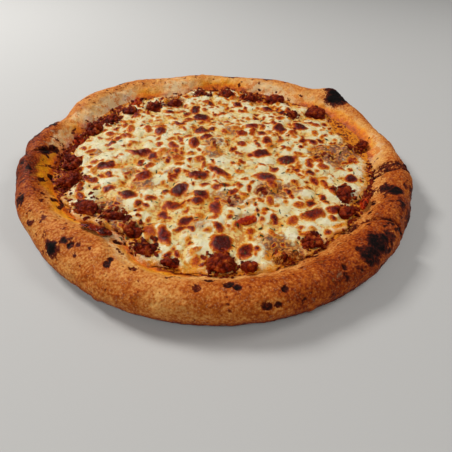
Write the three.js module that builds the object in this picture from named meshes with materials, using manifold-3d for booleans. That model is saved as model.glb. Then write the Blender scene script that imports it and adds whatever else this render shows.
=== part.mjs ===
// A bolognese pizza, about 32 cm across, baked and uncut: a dough base with a puffed, uneven rim,
// a layer of tomato sauce, melted cheese with browned blisters and herb flakes, and clumps of
// minced meat and tomato that stand in the cheese near its edge.
//
// Millimetres, +Z up. The origin is the middle of the flat underside, and -Y is the front.
// Angles are in degrees, anticlockwise from +X as seen from above.

import * as THREE from 'three';
import { mergeVertices } from 'three/addons/utils/BufferGeometryUtils.js';
import Module from 'manifold-3d';

const wasm = await Module();
wasm.setup();

const { clamp, lerp, degToRad, radToDeg } = THREE.MathUtils;

// Dough
const OUTER_RADIUS = 159.5; // the rim's outer bulge
const INNER_RADIUS = 130.5; // where the topping meets the rim
const RIM_HEIGHT = 22;
const BULGE_HEIGHT = 9; // the height at which the rim is widest
const UNDERCUT = 9; // how far the rim's foot lies inside its bulge
const FLOOR_THICKNESS = 5; // the dough under the topping
const SLOPE_RUN = 8; // the rim's inner slope starts this far inside INNER_RADIUS
const SLOPE_SHARES = [0, 0.34, 0.56, 0.78, 1]; // the slope's steps, from its foot to the crest
const CREST_SHARE = 0.48; // the crest's place, from 0 at the outer bulge to 1 at the inner edge

// Topping
const SAUCE_THICKNESS = 1.6;
const CHEESE_THICKNESS = 3.8;
const CHEESE_EDGE_THICKNESS = 1.2;
const CHEESE_INSET = 3; // the cheese ends this far inside the sauce
const GAP = 0.3; // between one layer and the next
const CLUMP_GAP = 0.5; // under a clump, whose underside follows the bed only roughly
const WELD = 1e-3; // points nearer than this are one

// Mesh density
const SECTORS = 116; // steps round the pizza
const CREST_STEPS = 5; // steps from the crest to the bulge
const FOOT_STEPS = 3; // steps from the bulge to the foot
const CHEESE_RINGS_BELOW = [0, 0.9, 1]; // as shares of the cheese's radius
const CHEESE_RINGS_ABOVE = [0, 0.5, 0.9, 0.97, 1];
const BLISTER_SIDES = 8;

// How the round outline departs from a circle: each swell is centred at an angle, fades over half
// its width, and adds so many millimetres.
const OUTER_SWELLS = [
  { at: 43, half: 9, by: 6 },
  { at: 15, half: 14, by: -3 },
  { at: -8, half: 14, by: -2 },
  { at: 92, half: 24, by: -6 },
  { at: 131, half: 11, by: 4 },
  { at: 151, half: 7, by: 5 },
  { at: 169, half: 8, by: -4 },
  { at: -178, half: 6, by: 4 },
  { at: -140, half: 16, by: -1 },
  { at: -92, half: 30, by: 1.5 },
];
const INNER_SWELLS = [
  { at: 20, half: 17, by: 9 },
  { at: 54, half: 7, by: -4 },
  { at: 118, half: 13, by: -15 },
  { at: 141, half: 7, by: 4 },
  { at: -162, half: 11, by: 6 },
  { at: -123, half: 10, by: -17 },
  { at: -45, half: 16, by: -4 },
];
const HEIGHT_SWELLS = [
  { at: 93, half: 28, by: -3.5 },
  { at: 164, half: 8, by: -4 },
  { at: 15, half: 13, by: -4.5 },
  { at: -160, half: 20, by: 2 },
  { at: -123, half: 16, by: 1.5 },
  { at: -35, half: 22, by: 2 },
];

// Where the cheese stops short and leaves the sauce and the meat bare.
const CHEESE_SWELLS = [
  { at: 158, half: 22, by: -10 },
  { at: -163, half: 12, by: -12 },
  { at: 16, half: 17, by: -15 },
  { at: -30, half: 10, by: -7 },
  { at: 66, half: 18, by: -8 },
];

// The burnt bubble that stands out of the rim.
const BURNT_BUBBLE = { angle: 42, radius: 153, size: 12, rise: 7 };

// Creases where the dough was folded over: each runs across the rim, and leans by so many degrees
// from its outer to its inner end. The lip stands up on one side of it.
const CREASES = [
  { angle: -170, lean: 5, depth: 2.6, half: 3, lip: 2.6 },
  { angle: -20, lean: -3, depth: 2, half: 3, lip: 1.2 },
  { angle: -31, lean: -9, depth: 2.4, half: 3, lip: 1.6 },
];
const LIP_OFFSET = 4.5; // degrees from a crease to the top of its lip

// Clumps of minced meat, from the left edge round by the front: their middle, their length, width
// and height over the bed, and the turn of their length from +X.
const MINCE = [
  { x: -118, y: -24, long: 19, wide: 15, tall: 8, turn: 75 },
  { x: -112, y: -45, long: 20, wide: 15, tall: 8, turn: 60 },
  { x: -90, y: -77, long: 20, wide: 15, tall: 9, turn: -35 },
  { x: -69, y: -84, long: 17, wide: 10, tall: 8, turn: -15 },
  { x: -52, y: -97, long: 15, wide: 12, tall: 7, turn: -50 },
  { x: -41, y: -112, long: 14, wide: 13, tall: 8, turn: -20 },
  { x: -24, y: -122, long: 12, wide: 9, tall: 7, turn: 10 },
  { x: 7, y: -121, long: 20, wide: 17, tall: 9, turn: 0 },
  { x: 25, y: -123, long: 11, wide: 9, tall: 7, turn: -20 },
  { x: 46, y: -113, long: 21, wide: 12, tall: 8, turn: 25 },
  { x: 67, y: -100, long: 15, wide: 12, tall: 7, turn: 35 },
  { x: 96, y: -70, long: 15, wide: 11, tall: 8, turn: 60 },
  { x: 99, y: -49, long: 21, wide: 12, tall: 8, turn: 80 },
  { x: 115, y: 13, long: 20, wide: 16, tall: 7.5, turn: 40 },
  { x: 91, y: 0, long: 22, wide: 15, tall: 7, turn: 15 },
  { x: 97, y: 77, long: 23, wide: 18, tall: 10, turn: -30 },
  { x: 72, y: 72, long: 11, wide: 9, tall: 7.5, turn: 20 },
  { x: 57, y: 104, long: 22, wide: 15, tall: 9, turn: -20 },
  { x: 32, y: 106, long: 18, wide: 13, tall: 8, turn: 5 },
  { x: 4, y: 114, long: 20, wide: 14, tall: 9, turn: 0 },
  { x: -24, y: 113, long: 16, wide: 12, tall: 8, turn: 10 },
  { x: -50, y: 88, long: 18, wide: 12, tall: 8, turn: 25 },
  { x: -70, y: 79, long: 20, wide: 13, tall: 8, turn: 40 },
  { x: -92, y: 68, long: 18, wide: 13, tall: 8, turn: 50 },
  { x: -106, y: 49, long: 18, wide: 14, tall: 8, turn: 60 },
  { x: -117, y: 30, long: 19, wide: 15, tall: 8, turn: 75 },
  { x: 40, y: -50, long: 20, wide: 15, tall: 6.5, turn: -10 },
  { x: -4, y: 17, long: 16, wide: 12, tall: 6, turn: 0 },
  { x: 14, y: -62, long: 15, wide: 12, tall: 6, turn: 30 },
  { x: 130, y: 19, long: 15, wide: 6, tall: 6, turn: 80 },
];
const TOMATO = [
  { x: -124, y: 9, long: 13, wide: 9, tall: 6, turn: 85 },
  { x: -90, y: 86, long: 14, wide: 8, tall: 6, turn: 45 },
  { x: 111, y: -60, long: 17, wide: 5.5, tall: 6, turn: 66 },
  { x: 24, y: -81, long: 19, wide: 7, tall: 5.5, turn: 28 },
];
// A browned scrap of cheese that lies on the rim's inner slope.
const SCRAP = { x: -72, y: -104, long: 21, wide: 11, tall: 3.4, turn: -12 };

const CLUMP_SINK = 0.32; // the share of a clump's height that its unflattened body has below the bed

// The largest browned blisters in the cheese: their middle, length and width, and the turn of
// their length from +X. They are low domes.
const BLISTERS = [
  { x: 7, y: -104, long: 18, wide: 15, turn: 90 },
  { x: 22, y: -110, long: 13, wide: 9, turn: 80 },
  { x: -31, y: -100, long: 16, wide: 8, turn: 110 },
  { x: 71, y: -74, long: 18, wide: 10, turn: 25 },
  { x: -29, y: -69, long: 13, wide: 10, turn: 0 },
  { x: 1, y: -70, long: 14, wide: 8, turn: 110 },
  { x: -10, y: -57, long: 10, wide: 9, turn: 0 },
  { x: -28, y: -52, long: 14, wide: 11, turn: 40 },
  { x: -64, y: -60, long: 14, wide: 10, turn: -30 },
  { x: -57, y: -37, long: 15, wide: 12, turn: 80 },
  { x: -15, y: -34, long: 16, wide: 11, turn: 0 },
  { x: 1, y: -26, long: 20, wide: 8, turn: -40 },
  { x: 40, y: -32, long: 16, wide: 11, turn: -10 },
  { x: -90, y: -26, long: 13, wide: 11, turn: 20 },
  { x: -67, y: -4, long: 20, wide: 8, turn: 0 },
  { x: -22, y: 13, long: 16, wide: 8, turn: 90 },
  { x: 59, y: -7, long: 16, wide: 11, turn: 15 },
  { x: 38, y: 1, long: 16, wide: 11, turn: 20 },
  { x: 44, y: 22, long: 14, wide: 9, turn: 90 },
  { x: -55, y: 30, long: 13, wide: 8, turn: 75 },
  { x: -17, y: 35, long: 15, wide: 11, turn: -20 },
  { x: 57, y: 44, long: 17, wide: 11, turn: 90 },
  { x: 77, y: 49, long: 14, wide: 9, turn: -35 },
  { x: 30, y: 46, long: 12, wide: 8, turn: 10 },
  { x: -20, y: 60, long: 16, wide: 12, turn: 0 },
  { x: -27, y: 76, long: 14, wide: 9, turn: 90 },
  { x: 17, y: 89, long: 13, wide: 8, turn: 90 },
  { x: 48, y: 82, long: 15, wide: 7, turn: 0 },
];
const BLISTER_RISE = 1.2; // how far a blister stands out of the cheese
const BLISTER_SINK = 0.5; // how far its widest section lies below the cheese's top

const PUFF_COUNT = 70; // soft bulges of the baked rim
const PUFF_SIZE = [8, 17];
const PUFF_RISE = [-1.6, 1.6];

const FLAKE_COUNT = 36; // the largest herb flakes
const FLAKE_LENGTH = [2.6, 4.2];
const FLAKE_WIDTH = 1.1;
const FLAKE_THICKNESS = 0.9;
const FLAKE_FIELD = 112; // the flakes lie within this radius
const FLAKE_CLEARANCE = 3; // between a flake and a clump or a blister

// ---- small helpers ----

// A repeatable random draw between low and high.
function makeDraw(seed) {
  let state = seed;
  return (low, high) => {
    state = (state * 1664525 + 1013904223) >>> 0;
    return lerp(low, high, state / 2 ** 32);
  };
}

// The turn from one angle to another, from -180 to 180 degrees.
function turnBetween(from, to) {
  return ((((to - from) % 360) + 540) % 360) - 180;
}

// What a list of swells adds at an angle.
function swell(swells, angle) {
  return swells.reduce((sum, s) => sum + s.by * Math.exp(-((turnBetween(s.at, angle) / s.half) ** 2)), 0);
}

// The value at x on the straight lines through the knots.
function alongKnots(x, from, to) {
  let i = 1;
  while (i < from.length - 1 && x > from[i]) i++;
  return lerp(to[i - 1], to[i], (x - from[i - 1]) / (from[i] - from[i - 1]));
}

// Moves each vertex of a geometry to where place(position) puts it.
function moveVertices(geometry, place) {
  const positions = geometry.getAttribute('position');
  const point = new THREE.Vector3();
  for (let i = 0; i < positions.count; i++) {
    place(point.fromBufferAttribute(positions, i));
    positions.setXYZ(i, point.x, point.y, point.z);
  }
  return geometry;
}

// A profile turned about +Z. The profile starts at the axis below and ends at the axis above.
function turned(profile) {
  const points = profile.map(([radius, height]) => new THREE.Vector2(radius, height));
  return new THREE.LatheGeometry(points, SECTORS).rotateX(Math.PI / 2);
}

function toSolid(geometry) {
  const bare = new THREE.BufferGeometry();
  bare.setAttribute('position', geometry.getAttribute('position').clone());
  bare.setIndex(geometry.getIndex());
  const merged = mergeVertices(bare, WELD);
  return new wasm.Manifold(
    new wasm.Mesh({
      numProp: 3,
      vertProperties: merged.getAttribute('position').array,
      triVerts: new Uint32Array(merged.getIndex().array),
    }),
  );
}

function fromSolid(solid) {
  const { vertProperties, triVerts } = solid.getMesh();
  const geometry = new THREE.BufferGeometry();
  geometry.setAttribute('position', new THREE.BufferAttribute(vertProperties, 3));
  geometry.setIndex(new THREE.BufferAttribute(triVerts, 1));
  geometry.computeVertexNormals();
  return geometry;
}

// ---- the dough's form ----

const NOMINAL_CREST = lerp(OUTER_RADIUS, INNER_RADIUS, CREST_SHARE);
const NOMINAL_FOOT = INNER_RADIUS - SLOPE_RUN;

// The rim's section at an angle: where the slope starts, the crest, the bulge and the height.
function rimAt(angle) {
  const outer = OUTER_RADIUS + swell(OUTER_SWELLS, angle);
  const inner = INNER_RADIUS + swell(INNER_SWELLS, angle);
  const height = RIM_HEIGHT + swell(HEIGHT_SWELLS, angle);
  return { slopeFoot: inner - SLOPE_RUN, crest: lerp(outer, inner, CREST_SHARE), outer, height };
}

// How much of its height the rim's inner slope has reached at each of its steps.
const SLOPE_RISES = SLOPE_SHARES.map((share) => Math.sin((share * Math.PI) / 2) ** 2);

// The height of the dough that carries the topping, before its relief.
function doughTop(radius, angle) {
  const { slopeFoot, crest, height } = rimAt(angle);
  const share = clamp((radius - slopeFoot) / (crest - slopeFoot), 0, 1);
  const rise = alongKnots(share, SLOPE_SHARES, SLOPE_RISES);
  return FLOOR_THICKNESS + (height - FLOOR_THICKNESS) * rise;
}

function polar(angle, radius, z) {
  return new THREE.Vector3(radius * Math.cos(degToRad(angle)), radius * Math.sin(degToRad(angle)), z);
}

// A point on the rim's outer quarter, where lift is 0 at the bulge and 1 at the crest.
function onRim(angle, lift) {
  const { crest, outer, height } = rimAt(angle);
  const around = (lift * Math.PI) / 2;
  const radius = crest + (outer - crest) * Math.cos(around);
  return polar(angle, radius, BULGE_HEIGHT + (height - BULGE_HEIGHT) * Math.sin(around));
}

// Bulges push the rim out around their centres.
function makeBulges() {
  const draw = makeDraw(7);
  const puffs = Array.from({ length: PUFF_COUNT }, () => ({
    centre: onRim(draw(-180, 180), draw(0, 1)),
    size: draw(...PUFF_SIZE),
    rise: draw(...PUFF_RISE),
  }));
  const { angle, radius, size, rise } = BURNT_BUBBLE;
  return [...puffs, { centre: polar(angle, radius, rimAt(angle).height), size, rise }];
}

const BULGES = makeBulges();

// How far the rim's surface stands out at a point.
function rimRelief(point, angle, across) {
  const bulges = BULGES.reduce(
    (sum, b) => sum + b.rise * Math.exp(-(point.distanceToSquared(b.centre) / b.size ** 2)), 0,
  );
  const creases = CREASES.reduce((sum, c) => {
    const off = turnBetween(c.angle + c.lean * across, angle);
    const groove = -c.depth * Math.exp(-((off / c.half) ** 2));
    const lip = c.lip * Math.exp(-(((off - LIP_OFFSET) / LIP_OFFSET) ** 2));
    return sum + groove + lip;
  }, 0);
  return bulges + creases;
}

// ---- the crust ----

function crustProfile() {
  const profile = [[0, 0]];
  for (let i = 0; i <= FOOT_STEPS; i++) {
    const around = ((i / FOOT_STEPS) * Math.PI) / 2;
    profile.push([
      OUTER_RADIUS - UNDERCUT * (1 - Math.sin(around)),
      BULGE_HEIGHT * (1 - Math.cos(around)),
    ]);
  }
  for (let i = 1; i <= CREST_STEPS; i++) {
    const around = ((i / CREST_STEPS) * Math.PI) / 2;
    profile.push([
      NOMINAL_CREST + (OUTER_RADIUS - NOMINAL_CREST) * Math.cos(around),
      BULGE_HEIGHT + (RIM_HEIGHT - BULGE_HEIGHT) * Math.sin(around),
    ]);
  }
  for (let i = SLOPE_SHARES.length - 2; i >= 0; i--) {
    profile.push([
      lerp(NOMINAL_FOOT, NOMINAL_CREST, SLOPE_SHARES[i]),
      lerp(FLOOR_THICKNESS, RIM_HEIGHT, SLOPE_RISES[i]),
    ]);
  }
  profile.push([0, FLOOR_THICKNESS]);
  return profile;
}

function makeCrust() {
  return moveVertices(turned(crustProfile()), (point) => {
    const nominalRadius = Math.hypot(point.x, point.y);
    const angle = radToDeg(Math.atan2(point.y, point.x));
    const { slopeFoot, crest, outer, height } = rimAt(angle);
    const radius = alongKnots(
      nominalRadius,
      [0, NOMINAL_FOOT, NOMINAL_CREST, OUTER_RADIUS],
      [0, slopeFoot, crest, outer],
    );
    const inside = nominalRadius < NOMINAL_CREST;
    const still = inside ? FLOOR_THICKNESS : BULGE_HEIGHT; // the height that keeps its place
    const stretch = (height - still) / (RIM_HEIGHT - still);
    const z = point.z > still ? still + (point.z - still) * stretch : point.z;
    point.copy(polar(angle, radius, z));

    // The relief pushes outwards from the middle of the rim, and fades towards foot and topping.
    const outwards = polar(angle, radius - crest, z - BULGE_HEIGHT).normalize();
    const across = clamp((outer - radius) / (outer - slopeFoot), 0, 1);
    const fade = THREE.MathUtils.smoothstep(z, FLOOR_THICKNESS + 3, BULGE_HEIGHT + 4);
    const topSide = nominalRadius >= NOMINAL_CREST || z > FLOOR_THICKNESS + 8;
    if (topSide) point.addScaledVector(outwards, fade * rimRelief(point, angle, across));
  });
}

// ---- the layers of topping ----

// A layer on the dough. The shares are the rings of its underside and of its top, radiusAt says
// where a share lies at an angle, and over(share, isTop) is the height over the dough.
function makeLayer(belowShares, topShares, radiusAt, over) {
  const below = belowShares.map((share) => [share, 0]);
  const above = topShares.map((share) => [share, 1]).reverse();
  return moveVertices(turned([...below, ...above]), (point) => {
    const share = Math.hypot(point.x, point.y);
    const angle = radToDeg(Math.atan2(point.y, point.x));
    const isTop = point.z > 0.5;
    const radius = radiusAt(share, angle);
    point.copy(polar(angle, radius, doughTop(radius, angle)));
    point.z += over(share, isTop);
  });
}

// The sauce ends one step up the rim's slope.
function sauceEdge(angle) {
  const { slopeFoot, crest } = rimAt(angle);
  return lerp(slopeFoot, crest, SLOPE_SHARES[1]);
}

// A share of 1 is where the slope starts, and 2 is the sauce's edge.
function makeSauce() {
  const rings = [0, 1, 2];
  const radiusAt = (share, angle) => (share > 1.5 ? sauceEdge(angle) : share * rimAt(angle).slopeFoot);
  return makeLayer(rings, rings, radiusAt, (share, isTop) => {
    const thickness = share > 1.5 ? SAUCE_THICKNESS / 2 : SAUCE_THICKNESS;
    return GAP + (isTop ? thickness : 0);
  });
}

const CHEESE_BED = GAP + SAUCE_THICKNESS + GAP; // the cheese's underside over the dough

function cheeseEdge(angle) {
  const wave = 1.3 * Math.sin(degToRad(11 * angle)) + 0.9 * Math.sin(degToRad(23 * angle + 40));
  return sauceEdge(angle) - CHEESE_INSET + swell(CHEESE_SWELLS, angle) + wave;
}

function makeCheeseSheet() {
  const radiusAt = (share, angle) => share * cheeseEdge(angle);
  return makeLayer(CHEESE_RINGS_BELOW, CHEESE_RINGS_ABOVE, radiusAt, (share, isTop) => {
    const thickness = share > 0.999 ? CHEESE_EDGE_THICKNESS : CHEESE_THICKNESS;
    return CHEESE_BED + (isTop ? thickness : 0);
  });
}

// ---- clumps ----

// An uneven lump: a sphere of small faces with ripples, as large as the clump's own sizes.
function lump(clump, seed) {
  const draw = makeDraw(seed);
  const ripples = Array.from({ length: 4 }, () => ({
    way: new THREE.Vector3(draw(-1, 1), draw(-1, 1), draw(-1, 1)).normalize(),
    pitch: draw(3, 8),
    start: draw(0, 6),
  }));
  const geometry = new THREE.IcosahedronGeometry(1, 1);
  moveVertices(geometry, (point) => {
    const ripple = ripples.reduce((sum, r) => sum + Math.sin(r.pitch * point.dot(r.way) + r.start), 0);
    point.multiplyScalar(1 + 0.05 * ripple);
  });
  const body = clump.tall / (1 - CLUMP_SINK); // the lump's height with the part below the bed
  return geometry
    .scale(clump.long / 2, clump.wide / 2, body / 2)
    .rotateZ(degToRad(clump.turn))
    .translate(0, 0, clump.tall - body / 2);
}

function bedUnder(x, y, layers) {
  return doughTop(Math.hypot(x, y), radToDeg(Math.atan2(y, x))) + layers;
}

// A lump that follows its bed: what would reach below the bed lies flat on it.
function settledLump(clump, seed, layers) {
  const here = bedUnder(clump.x, clump.y, layers);
  return moveVertices(lump(clump, seed), (point) => {
    const bed = bedUnder(clump.x + point.x, clump.y + point.y, layers) - here;
    point.z = Math.max(point.z, 0) + bed;
  });
}

const SAUCE_LAYERS = GAP + SAUCE_THICKNESS + CLUMP_GAP;

function makeClumps(list, name, material, seed, layers = SAUCE_LAYERS) {
  return list.map((clump, i) => {
    const mesh = new THREE.Mesh(fromSolid(toSolid(settledLump(clump, seed + i, layers))), material);
    mesh.name = list.length > 1 ? `${name}_${String(i + 1).padStart(2, '0')}` : name;
    mesh.position.set(clump.x, clump.y, bedUnder(clump.x, clump.y, layers));
    return mesh;
  });
}

// The room that a clump takes in the cheese: its whole lump with the gap round it.
function clumpRoom(clump, seed) {
  const grow = 1 + (2 * GAP) / clump.wide;
  const room = lump(clump, seed).scale(grow, grow, grow).translate(clump.x, clump.y, 0);
  return moveVertices(room, (point) => {
    point.z += bedUnder(point.x, point.y, SAUCE_LAYERS);
  });
}

// ---- the cheese, with blisters and herb flakes fused on and room for the clumps ----

function cheeseTop(x, y) {
  return bedUnder(x, y, CHEESE_BED + CHEESE_THICKNESS);
}

function makeBlisters() {
  return BLISTERS.map((blister) =>
    new THREE.SphereGeometry(1, BLISTER_SIDES, 4)
      .rotateX(Math.PI / 2)
      .scale(blister.long / 2, blister.wide / 2, BLISTER_RISE + BLISTER_SINK)
      .rotateZ(degToRad(blister.turn))
      .translate(blister.x, blister.y, cheeseTop(blister.x, blister.y) - BLISTER_SINK),
  );
}


function flakePlaces() {
  const draw = makeDraw(41);
  const places = [];
  while (places.length < FLAKE_COUNT) {
    const radius = FLAKE_FIELD * Math.sqrt(draw(0, 1));
    const place = polar(draw(-180, 180), radius, 0);
    const clear = [...MINCE, ...TOMATO, ...BLISTERS].every(
      (c) => Math.hypot(c.x - place.x, c.y - place.y) > c.long / 2 + FLAKE_CLEARANCE,
    );
    const apart = places.every((p) => p.distanceTo(place) > FLAKE_LENGTH[1] + FLAKE_CLEARANCE);
    if (clear && apart) places.push(place);
  }
  return places;
}

function makeFlakes() {
  const draw = makeDraw(53);
  return flakePlaces().map((place) =>
    new THREE.OctahedronGeometry(1)
      .scale(draw(...FLAKE_LENGTH) / 2, FLAKE_WIDTH / 2, FLAKE_THICKNESS)
      .rotateZ(draw(0, Math.PI))
      .translate(place.x, place.y, cheeseTop(place.x, place.y)),
  );
}

const MINCE_SEED = 100;
const TOMATO_SEED = 200;
const SCRAP_SEED = 300;

function makeCheese() {
  const rooms = [
    ...MINCE.map((clump, i) => clumpRoom(clump, MINCE_SEED + i)),
    ...TOMATO.map((clump, i) => clumpRoom(clump, TOMATO_SEED + i)),
  ];
  const bits = [...makeBlisters(), ...makeFlakes()];
  const topped = bits.reduce((solid, bit) => solid.add(toSolid(bit)), toSolid(makeCheeseSheet()));
  return fromSolid(rooms.reduce((solid, room) => solid.subtract(toSolid(room)), topped));
}

// ---- materials and the finished pizza ----

const bakedDough = new THREE.MeshStandardMaterial({ color: 0xc07d45, roughness: 0.8, metalness: 0 });
const tomatoSauce = new THREE.MeshStandardMaterial({ color: 0x9c2d0e, roughness: 0.35, metalness: 0 });
const meltedCheese = new THREE.MeshStandardMaterial({ color: 0xe9d59a, roughness: 0.35, metalness: 0 });
const mincedMeat = new THREE.MeshStandardMaterial({ color: 0x6a2c14, roughness: 0.5, metalness: 0 });
const tomatoPiece = new THREE.MeshStandardMaterial({ color: 0xa01f0a, roughness: 0.3, metalness: 0 });
const brownedCheese = new THREE.MeshStandardMaterial({ color: 0x7a3412, roughness: 0.5, metalness: 0 });

function named(name, geometry, material) {
  const mesh = new THREE.Mesh(geometry, material);
  mesh.name = name;
  return mesh;
}

const pizza = new THREE.Group();
pizza.name = 'bolognese_pizza';
pizza.add(
  named('crust', makeCrust(), bakedDough),
  named('sauce', makeSauce(), tomatoSauce),
  named('cheese', makeCheese(), meltedCheese),
  ...makeClumps(MINCE, 'mince', mincedMeat, MINCE_SEED),
  ...makeClumps(TOMATO, 'tomato', tomatoPiece, TOMATO_SEED),
  ...makeClumps([SCRAP], 'cheese_scrap', brownedCheese, SCRAP_SEED, CLUMP_GAP),
);

export default pizza;
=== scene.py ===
"""A bolognese pizza, baked and uncut, on a plain pale floor.

The part's solids give every piece its place and size: the dough, the sauce, the meat and the
tomato are finer copies of their solids, and the cheese, crumbs and herbs are laid on them.
Lengths are in millimetres until they go into a mesh, and angles are in degrees, anticlockwise
from +X as seen from above. The front is at -Y.
"""

import math
from collections import namedtuple

import bmesh
import bpy
import numpy as np
from mathutils import Matrix, Vector, noise
from mathutils.bvhtree import BVHTree


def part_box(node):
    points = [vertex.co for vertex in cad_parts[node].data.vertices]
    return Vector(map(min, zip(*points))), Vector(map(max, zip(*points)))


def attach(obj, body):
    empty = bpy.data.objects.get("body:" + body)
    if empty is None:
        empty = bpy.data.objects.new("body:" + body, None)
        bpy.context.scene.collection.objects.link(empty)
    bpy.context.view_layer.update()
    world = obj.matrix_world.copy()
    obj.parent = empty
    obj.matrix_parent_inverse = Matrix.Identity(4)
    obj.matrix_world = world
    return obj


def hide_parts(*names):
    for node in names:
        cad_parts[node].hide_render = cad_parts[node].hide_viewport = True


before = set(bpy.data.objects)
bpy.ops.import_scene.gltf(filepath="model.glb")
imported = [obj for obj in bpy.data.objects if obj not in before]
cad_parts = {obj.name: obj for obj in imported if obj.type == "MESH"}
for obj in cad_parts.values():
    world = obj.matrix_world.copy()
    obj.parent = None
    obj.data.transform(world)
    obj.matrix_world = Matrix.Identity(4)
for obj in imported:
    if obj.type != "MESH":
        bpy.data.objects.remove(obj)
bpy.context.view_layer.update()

MM = 0.001  # metres
WELD = 0.01  # points of a solid that are closer than this are one
SKY = 100  # plumb lines are dropped from this height

Swell = namedtuple("Swell", "at half by")  # at an angle: how wide it is and what it adds
Mark = namedtuple("Mark", "x y size depth")  # a spot: its middle, its reach and how strong it is
Wave = namedtuple("Wave", "by size seed")  # noise: its height, how long its waves are, its seed

# Crust
CRUST_LEVELS = 3
CRUST_WAVES = [Wave(0.55, 13, 1), Wave(0.3, 5, 2), Wave(0.12, 2, 5)]
RIM_FOOT = 108  # the rim begins outside this radius
CREST_DROP = 5  # the freckled crest is this far below the highest place

BURNS = [
    Mark(119, 91, 11, 1.0),
    Mark(127, 96, 12, 1.0),
    Mark(134, 100, 9, 1.0),
    Mark(113, 103, 6, 0.5),
    Mark(-95, -121, 5, 1.0),
    Mark(-87, -117, 2.4, 0.9),
    Mark(128, -48, 5, 0.75),
    Mark(132, -55, 5, 0.95),
    Mark(115, -101, 5, 0.5),
    Mark(104, -108, 8, 0.8),
    Mark(98, -117, 7, 0.7),
    Mark(133, -72, 4, 0.5),
    Mark(151, -66, 7, 0.9),
    Mark(148, -80, 6, 0.7),
    Mark(-140, -20, 4.5, 0.85),
    Mark(-135, -13, 4, 0.75),
    Mark(-152, -38, 5, 0.7),
    Mark(-131, -82, 4, 0.6),
    Mark(-147, -75, 7, 0.8),
    Mark(-152, 18, 7, 0.85),
    Mark(-158, -28, 10, 0.55),
    Mark(-158, -2, 9, 0.5),
    Mark(-154, -56, 9, 0.5),
    Mark(142, -76, 9, 0.5),
    Mark(152, -50, 8, 0.5),
    Mark(146, -25, 8, 0.36),
    Mark(134, -24, 8, 0.36),
    Mark(122, -45, 3, 0.6),
    Mark(-58, 146, 7, 0.55),
    Mark(8, 151, 8, 0.6),
    Mark(-112, 110, 6, 0.5),
    Mark(52, 143, 7, 0.7),
    Mark(152, 30, 6, 0.45),
]
BURST_BUBBLES = [
    Mark(-58, -109, 3.2, 0.8),
    Mark(-54, -107, 2.4, 0.7),
    Mark(-57, -133, 2.4, 0.8),
    Mark(-56, -129, 1.8, 0.7),
    Mark(-42, -134, 2.6, 0.9),
    Mark(1, -138, 3.4, 0.9),
    Mark(12, -142, 3.2, 0.95),
    Mark(17, -145, 2.2, 0.9),
    Mark(-83, -120, 2.4, 0.85),
    Mark(-78, -120, 1.6, 0.7),
    Mark(43, -145, 2.2, 1.0),
    Mark(79, -128, 2.0, 1.0),
    Mark(-5, -147, 2.6, 0.6),
    Mark(33, -155, 3.0, 0.8),
    Mark(39, -154, 2.6, 0.8),
    Mark(90, -114, 2.6, 0.9),
]
# Folds of the dough: the points that a crease runs through, how wide and deep it is, and how
# much the dough on its left stands above that on its right, seen along it.
Fold = namedtuple("Fold", "path width depth lift")
FOLDS = [
    Fold([(-128, -22), (-130, -14), (-136, -13), (-141, -20), (-149, -29)], 1.7, 3.2, 2.4),
    Fold(
        [(129, -98), (125, -90), (120, -86), (111, -83), (106, -82), (100, -83), (92, -90)],
        2.3, 5.0, 0.6,
    ),
    Fold([(159, -28), (152, -20), (143, -19), (138, -17), (131, -18), (122, -24)], 1.6, 2.6, 1.4),
    Fold([(158, -33), (150, -26), (143, -24), (136, -23), (128, -23), (120, -28)], 1.3, 1.8, 0.6),
    Fold([(156, -38), (148, -31), (141, -31), (135, -30), (128, -29), (119, -34)], 1.6, 2.4, 0.8),
]
LIP_REACH = 13  # the lift dies away over this distance from the crease
BUBBLE_COUNT = 70  # small closed bubbles of the crust
BUBBLE_SIZE = (1.6, 4.5)
BUBBLE_RISE = 0.16  # of a bubble's size
BURST_DEPTH = 0.9

# How the crust's finish changes round the rim
SCORCHED_SIDES = [Swell(-158, 26, 1), Swell(-38, 24, 1)]
TOASTED_SIDES = [
    Swell(-38, 30, 0.3),
    Swell(-68, 14, 0.14),
    Swell(-164, 20, 0.42),
    Swell(80, 55, -0.03),
]
PALE_FEET = [Swell(-50, 16, 0.6), Swell(-135, 18, 0.5), Swell(60, 40, 0.4), Swell(160, 40, 0.4)]
FRECKLED_CRESTS = [Swell(112, 26, 0.9), Swell(75, 14, 0.6), Swell(150, 20, 0.7)]
PALE_SLOPES = [
    Swell(180, 7, 1.5),
    Swell(162, 6, 1.1),
    Swell(142, 10, 1.3),
    Swell(113, 9, 1.1),
    Swell(70, 12, 0.8),
    Swell(38, 20, 0.7),
    Swell(6, 8, 0.9),
    Swell(-118, 13, 1.0),
]
OILY_SLOPES = [
    Swell(26, 22, 1.0),
    Swell(92, 13, 1.0),
    Swell(128, 6, 0.8),
    Swell(170, 4, 0.9),
    Swell(-163, 10, 2.4),
    Swell(-141, 9, 1.5),
    Swell(-104, 12, 0.9),
    Swell(-60, 30, 0.2),
]

# Sauce, meat and tomato
SAUCE_LEVELS = 3
OILY_SAUCE = [Swell(22, 26, 1.0), Swell(100, 16, 0.6)]
MINCE_LEVELS = 3
CRAG_HEIGHT = 4.2
TOMATO_LEVELS = 2
TOMATO_WAVES = [Wave(0.7, 4, 41), Wave(0.3, 1.6, 42)]
SCRAP_LEVELS = 3
SCRAP_BUMP_HEIGHT = 2.2

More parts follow.
